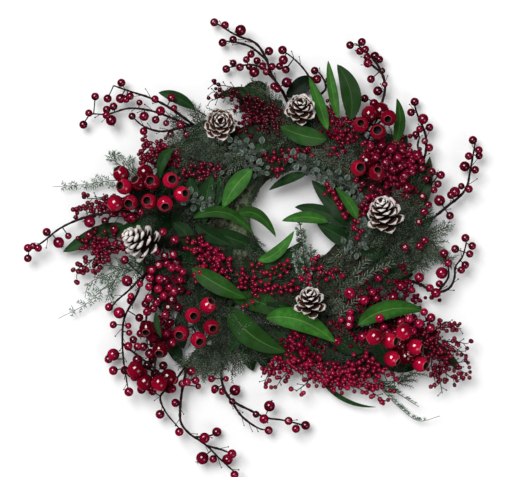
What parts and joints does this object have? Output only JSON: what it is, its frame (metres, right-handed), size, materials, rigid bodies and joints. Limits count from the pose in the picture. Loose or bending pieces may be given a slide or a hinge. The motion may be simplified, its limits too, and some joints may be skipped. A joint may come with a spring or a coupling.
{
  "type": "pinecone wreath",
  "caption": "Round wreath of leaves, fern and conifer sprays, red berry branches, rose hips and frosted pinecones on a mossy base ring, to hang on a wall or lie flat.",
  "frame": {"origin": "on the surface that the wreath lies on, under the middle of its outline", "axes": "+Z out of the wreath's front, +Y up and +X to the right, seen from the front as it hangs"},
  "size_m": [0.5958, 0.5992, 0.0876],
  "materials": {
    "moss_base": "rough, mossy",
    "cone_scales": "dry, with white tips",
    "hip_skin": "glossy, lacquered",
    "berry_skin": "glossy, lacquered",
    "pip_skin": "satin",
    "bright_leaf": "satin, veined",
    "dark_leaf": "matt, veined",
    "fern_needle": "matt",
    "frosted_needle": "matt, frosted",
    "frosted_leaf": "matt, frosted"
  },
  "bodies": {
    "root": {"base_ring": "moss_base", "branch_bottom": "berry_skin", "branch_bottom_left": "berry_skin", "branch_left": "berry_skin", "branch_left_upper": "berry_skin", "branch_low_left_inner": "berry_skin", "branch_low_left_outer": "berry_skin", "branch_right": "berry_skin", "branch_right_low": "berry_skin", "branch_right_middle": "berry_skin", "branch_right_upper": "berry_skin", "branch_top": "berry_skin", "branch_top_right": "berry_skin", "cedar_inner_top": "frosted_needle", "cone_bottom": "cone_scales", "cone_left": "cone_scales", "cone_right": "cone_scales", "cone_top": "cone_scales", "cone_top_left": "cone_scales", "conifer_inner_right": "frosted_needle", "conifer_low_left": "fern_needle", "conifer_right": "fern_needle", "conifer_top": "fern_needle", "conifer_top_left": "fern_needle", "fern_bottom_right": "fern_needle", "fern_left": "fern_needle", "fern_low_left": "fern_needle", "hips_left": "hip_skin", "hips_low_left": "hip_skin", "hips_right": "hip_skin", "hips_top_right": "hip_skin", "leaves_hole_left": "bright_leaf", "leaves_hole_low": "bright_leaf", "leaves_hole_right": "bright_leaf", "leaves_inner_left": "dark_leaf", "leaves_inner_low": "dark_leaf", "leaves_inner_right": "dark_leaf", "leaves_inner_top": "dark_leaf", "leaves_left": "dark_leaf", "leaves_low": "dark_leaf", "leaves_right": "dark_leaf", "leaves_right_bright": "bright_leaf", "leaves_right_low": "dark_leaf", "leaves_top": "bright_leaf", "leaves_top_left": "dark_leaf", "leaves_top_right": "bright_leaf", "leaves_upper_left": "dark_leaf", "pips_bottom": "pip_skin", "pips_inner_left": "pip_skin", "pips_left": "pip_skin", "pips_low_left": "pip_skin", "pips_right": "pip_skin", "pips_right_low": "pip_skin", "pips_top": "pip_skin", "pips_top_middle": "pip_skin", "pips_upper_left": "pip_skin", "round_leaves_inner_top": "frosted_leaf", "round_leaves_left": "frosted_leaf", "round_leaves_top": "frosted_leaf", "sprig_hole": "frosted_needle"}
  },
  "joints": []
}
